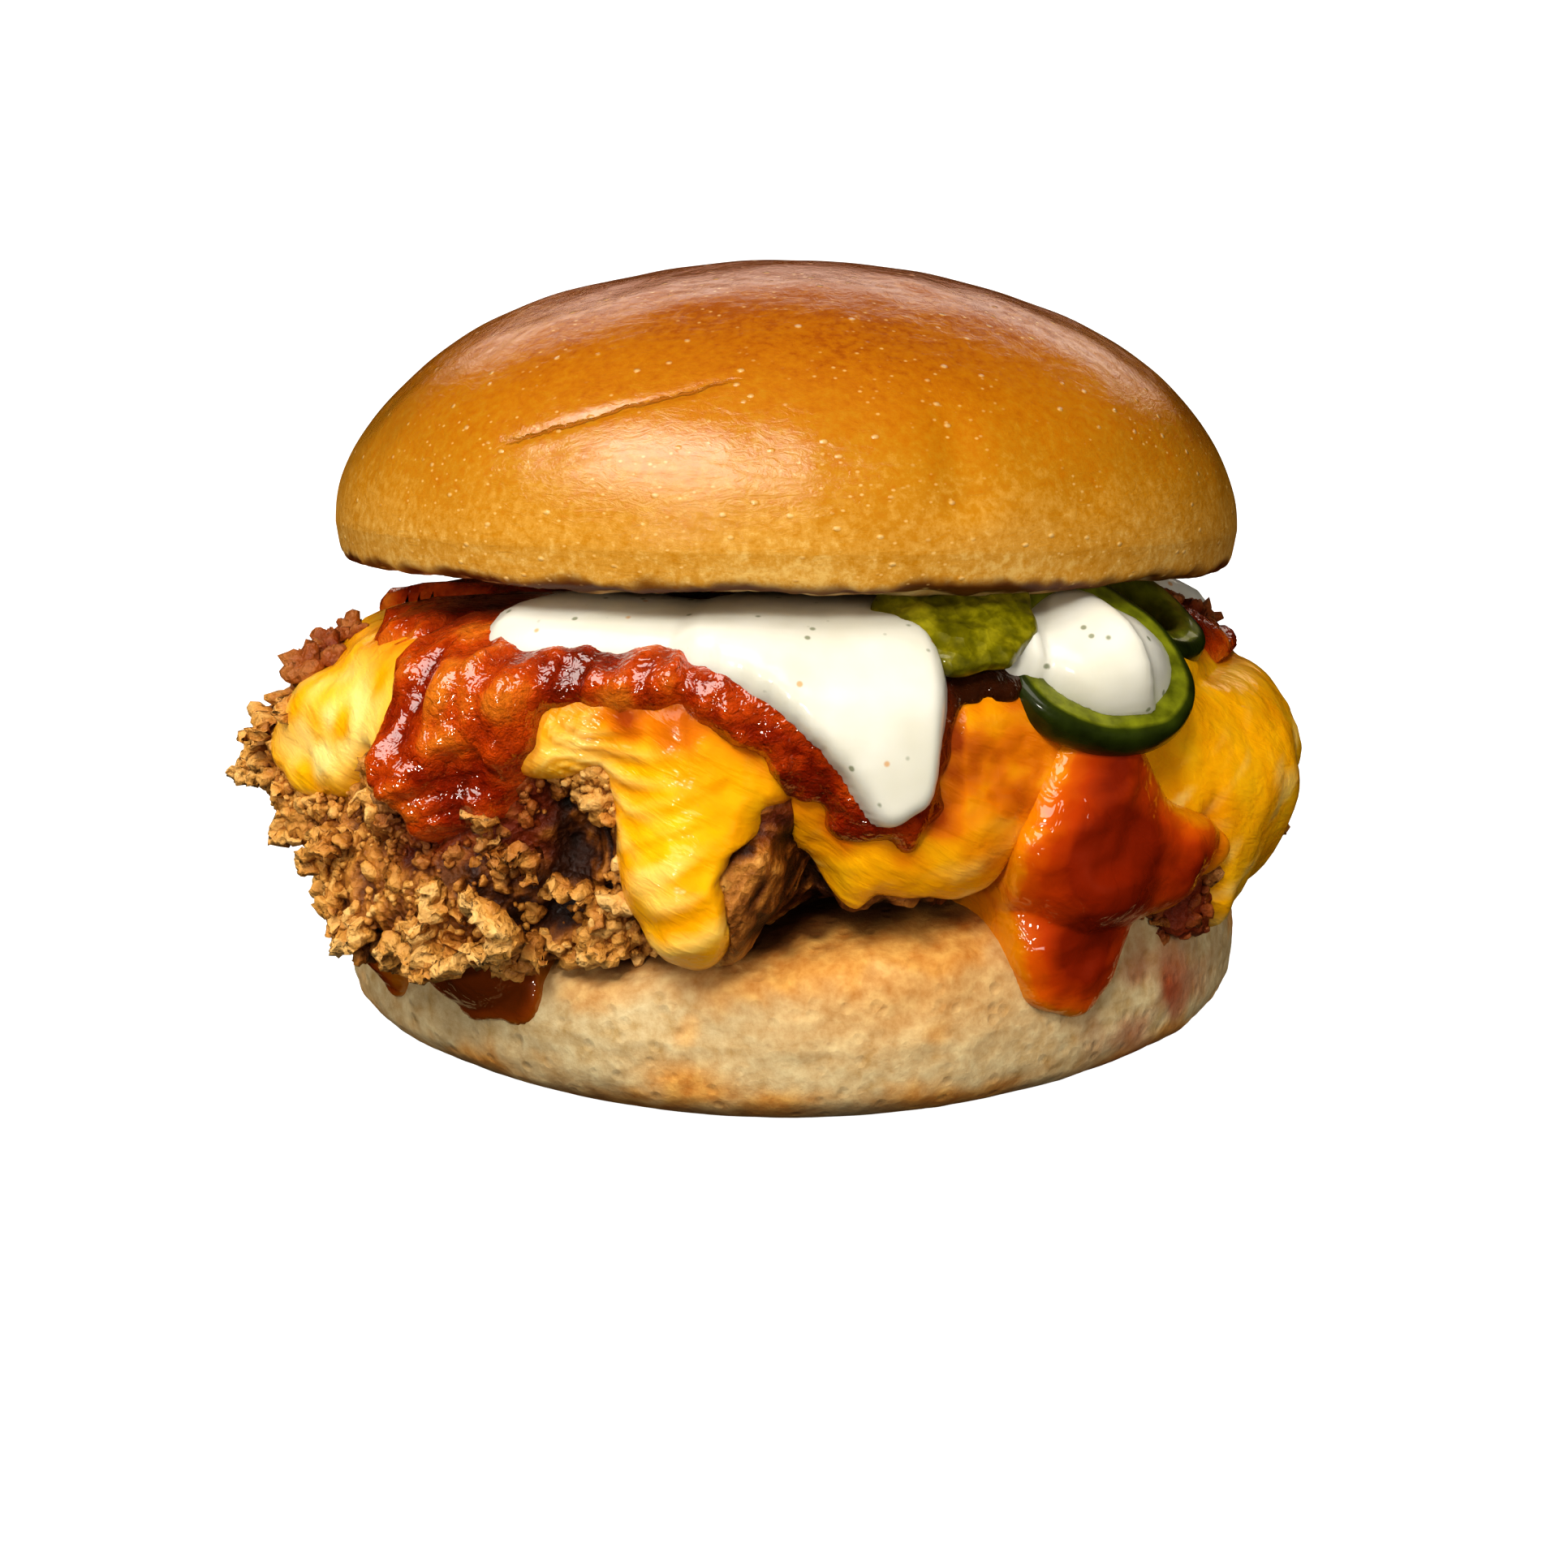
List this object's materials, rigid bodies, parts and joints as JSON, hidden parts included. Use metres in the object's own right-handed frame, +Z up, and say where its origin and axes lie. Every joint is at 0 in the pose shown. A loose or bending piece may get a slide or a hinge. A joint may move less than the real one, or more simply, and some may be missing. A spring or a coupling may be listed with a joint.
{
  "type": "chicken burger",
  "caption": "Fried chicken burger: glazed bun, craggy fillet, melted cheese, red relish, ranch and hot sauce, pickle and jalapeno rings.",
  "frame": {"origin": "middle of the flat underside of the bottom bun, on the table", "axes": "+Z up, -Y towards the viewer of the picture, +X to the viewer's right"},
  "size_m": [0.1271, 0.1166, 0.0907],
  "materials": {
    "bun_bottom": "matte, toasted at its cut rim",
    "bun_top": "glazed, amber brown",
    "fried_chicken": "craggy, half matt crust",
    "melted_cheese": "glossy, soft",
    "red_relish": "wet, chunky",
    "hot_sauce": "wet, smooth",
    "ranch_sauce": "creamy, half gloss",
    "pickle_slice": "wet, translucent",
    "jalapeno": "wet skin"
  },
  "bodies": {
    "root": {"bun_bottom": "bun_bottom", "fried_chicken": "fried_chicken", "melted_cheese": "melted_cheese", "red_relish": "red_relish", "hot_sauce": "hot_sauce", "ranch_sauce": "ranch_sauce", "pickle_slice": "pickle_slice", "jalapeno_front": "jalapeno", "jalapeno_back": "jalapeno", "bun_top": "bun_top"}
  },
  "joints": []
}
